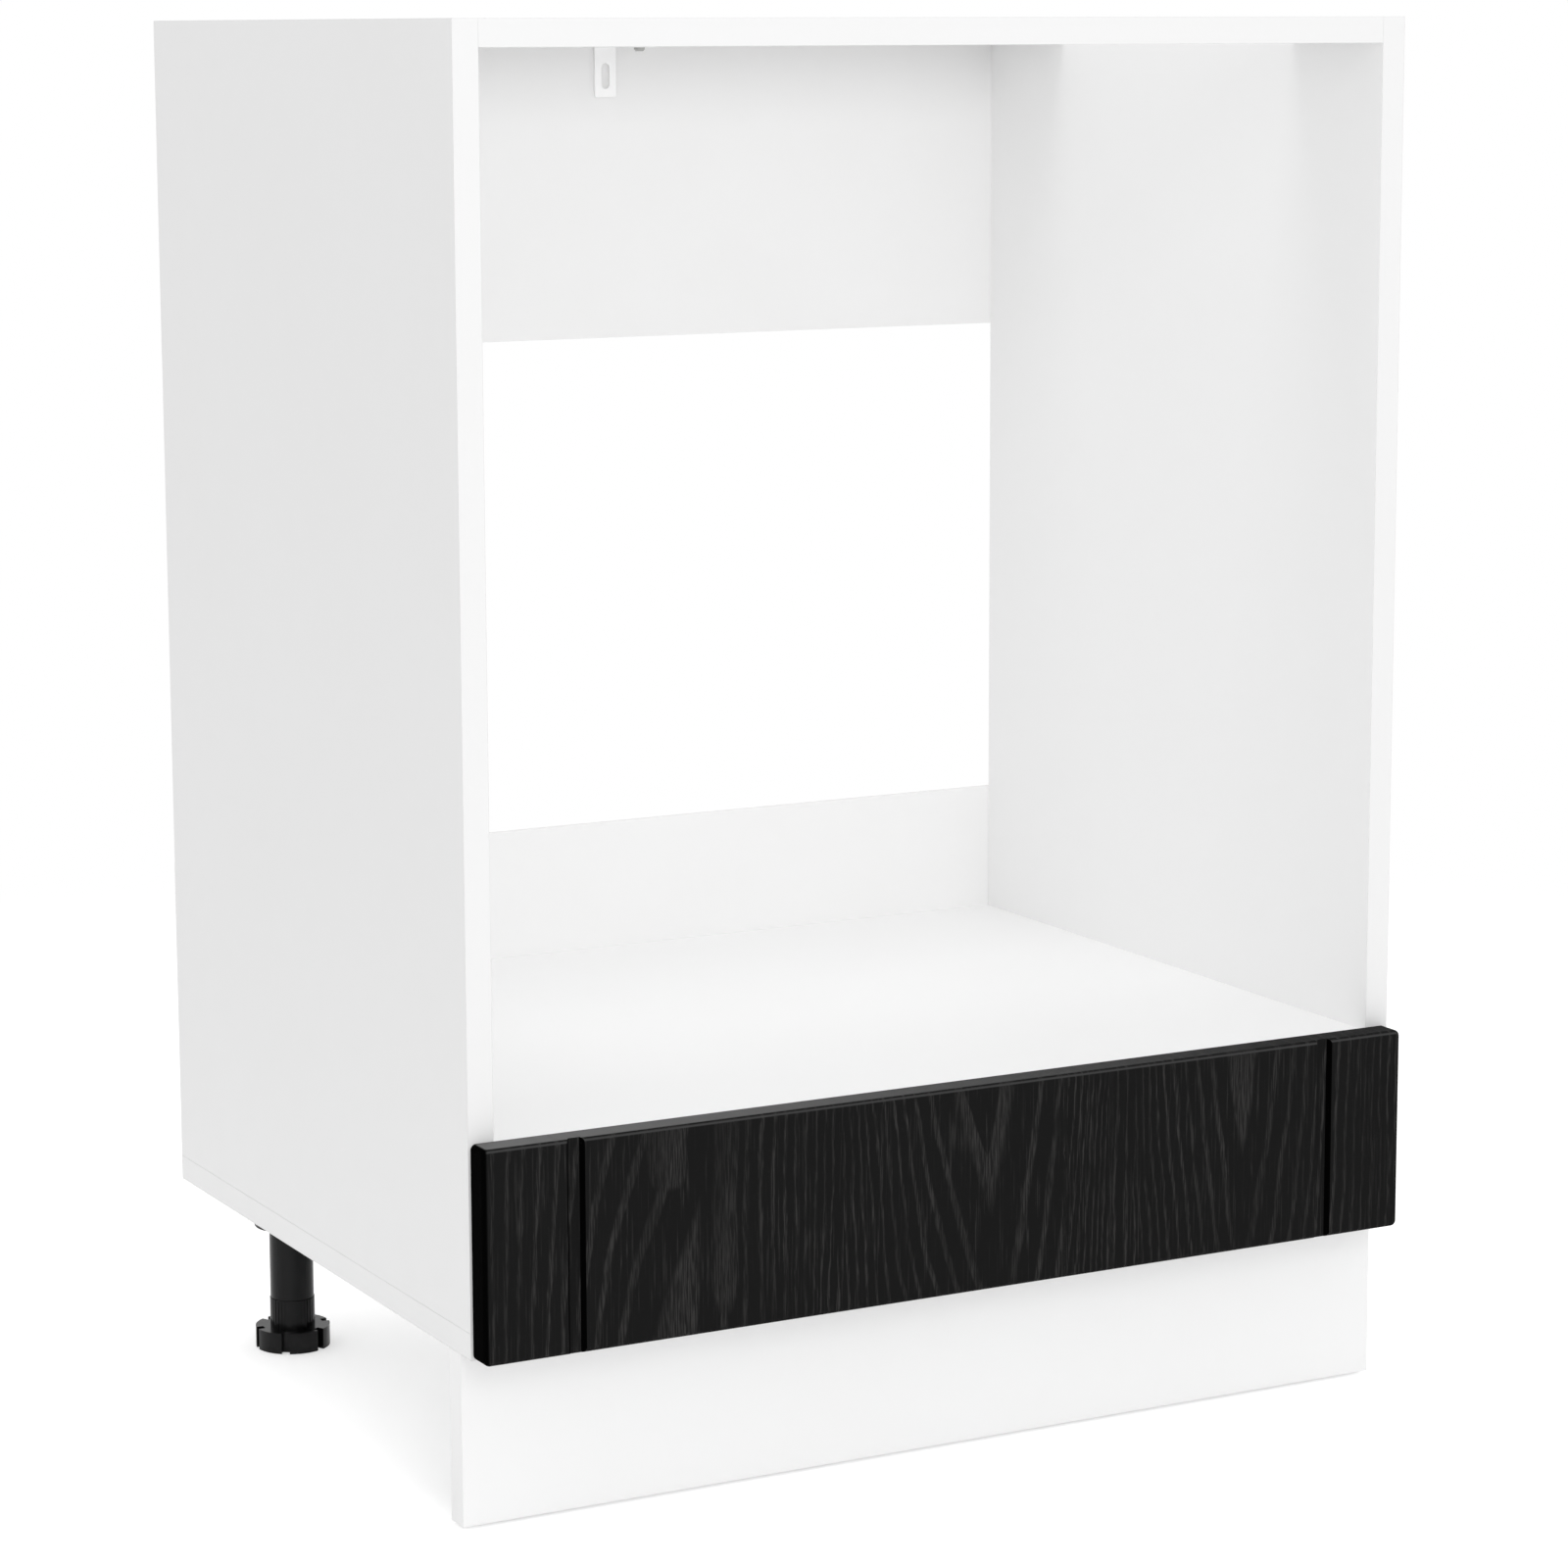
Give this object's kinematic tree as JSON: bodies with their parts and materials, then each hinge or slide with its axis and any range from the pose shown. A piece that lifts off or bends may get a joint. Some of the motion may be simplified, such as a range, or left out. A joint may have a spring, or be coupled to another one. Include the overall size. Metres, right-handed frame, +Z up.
{
  "type": "oven base cabinet",
  "caption": "White base cabinet for a built-in oven, open above, with a low black drawer below the oven shelf, a plinth and levelling legs.",
  "frame": {"origin": "on the floor, below the middle of the cabinet's width and depth", "axes": "+X to the right seen from the front, +Y from the drawer front to the back boards, +Z up"},
  "size_m": [0.6, 0.46, 0.815],
  "materials": {
    "white_board": "satin white melamine on chipboard",
    "white_hardboard": "white lacquered hardboard",
    "black_front": "satin black with upright wood grain",
    "beech": "plain beech",
    "zinc": "bright zinc plating",
    "cast_zinc": "dull cast zinc alloy",
    "white_metal": "white powder coat",
    "black_plastic": "satin moulded plastic",
    "grey_plastic": "moulded plastic",
    "white_plastic": "moulded nylon"
  },
  "bodies": {
    "cabinet": {"side_panel_left": "white_board", "side_panel_right": "white_board", "bottom_panel": "white_board", "oven_shelf": "white_board", "top_rail_front": "white_board", "top_rail_rear": "white_board", "back_board_upper": "white_hardboard", "back_board_lower": "white_hardboard", "back_nails": "zinc", "cam_locks": "cast_zinc", "cam_bolts": "zinc", "dowels": "beech", "bottom_screws": "zinc", "wall_bracket": "white_metal", "wall_bracket_screw": "zinc", "plinth_board": "white_board", "plinth_clip_left": "grey_plastic", "plinth_clip_right": "grey_plastic", "plinth_clip_screws": "zinc", "leg_socket_front_left": "black_plastic", "leg_socket_front_right": "black_plastic", "leg_socket_rear_left": "black_plastic", "leg_socket_rear_right": "black_plastic", "leg_tube_front_left": "black_plastic", "leg_tube_front_right": "black_plastic", "leg_tube_rear_left": "black_plastic", "leg_tube_rear_right": "black_plastic", "leg_socket_screws": "zinc", "cabinet_runner_left": "white_metal", "cabinet_runner_right": "white_metal", "front_roller_pins": "zinc", "cabinet_runner_screws": "zinc"},
    "drawer": {"drawer_front": "black_front", "drawer_side_left": "white_board", "drawer_side_right": "white_board", "drawer_back": "white_board", "drawer_bottom": "white_hardboard", "drawer_cams": "cast_zinc", "drawer_cam_bolts": "zinc", "drawer_dowels": "beech", "drawer_back_screws": "zinc", "drawer_base_nails": "zinc", "drawer_runner_left": "white_metal", "drawer_runner_right": "white_metal", "drawer_runner_screws": "zinc", "rear_roller_pins": "zinc"},
    "front_roller_left": {"front_roller_left": "white_plastic"},
    "rear_roller_left": {"rear_roller_left": "white_plastic"},
    "front_roller_right": {"front_roller_right": "white_plastic"},
    "rear_roller_right": {"rear_roller_right": "white_plastic"},
    "levelling_foot_front_left": {"levelling_foot_front_left": "black_plastic"},
    "levelling_foot_front_right": {"levelling_foot_front_right": "black_plastic"},
    "levelling_foot_rear_left": {"levelling_foot_rear_left": "black_plastic"},
    "levelling_foot_rear_right": {"levelling_foot_rear_right": "black_plastic"}
  },
  "joints": [
    {"name": "drawer_slide", "type": "slide", "parent": "cabinet", "child": "drawer", "axis": [0, -1, 0], "range_m": [0, 0.3]},
    {"name": "front_roller_left_turn", "type": "hinge", "parent": "cabinet", "child": "front_roller_left", "pos_m": [-0.2789, -0.2, 0.1342], "axis": [1, 0, 0], "continuous": true},
    {"name": "rear_roller_left_turn", "type": "hinge", "parent": "drawer", "child": "rear_roller_left", "pos_m": [-0.2789, 0.1725, 0.132], "axis": [1, 0, 0], "continuous": true},
    {"name": "front_roller_right_turn", "type": "hinge", "parent": "cabinet", "child": "front_roller_right", "pos_m": [0.2789, -0.2, 0.1342], "axis": [1, 0, 0], "continuous": true},
    {"name": "rear_roller_right_turn", "type": "hinge", "parent": "drawer", "child": "rear_roller_right", "pos_m": [0.2789, 0.1725, 0.132], "axis": [1, 0, 0], "continuous": true},
    {"name": "levelling_foot_front_left_height", "type": "slide", "parent": "cabinet", "child": "levelling_foot_front_left", "axis": [0, 0, -1], "range_m": [0, 0.015]},
    {"name": "levelling_foot_front_right_height", "type": "slide", "parent": "cabinet", "child": "levelling_foot_front_right", "axis": [0, 0, -1], "range_m": [0, 0.015]},
    {"name": "levelling_foot_rear_left_height", "type": "slide", "parent": "cabinet", "child": "levelling_foot_rear_left", "axis": [0, 0, -1], "range_m": [0, 0.015]},
    {"name": "levelling_foot_rear_right_height", "type": "slide", "parent": "cabinet", "child": "levelling_foot_rear_right", "axis": [0, 0, -1], "range_m": [0, 0.015]}
  ],
  "couplings": [
    {"joint": "front_roller_left_turn", "follows": "drawer_slide", "rad_per_m": 117.65},
    {"joint": "rear_roller_left_turn", "follows": "drawer_slide", "rad_per_m": 117.65},
    {"joint": "front_roller_right_turn", "follows": "drawer_slide", "rad_per_m": 117.65},
    {"joint": "rear_roller_right_turn", "follows": "drawer_slide", "rad_per_m": 117.65}
  ]
}
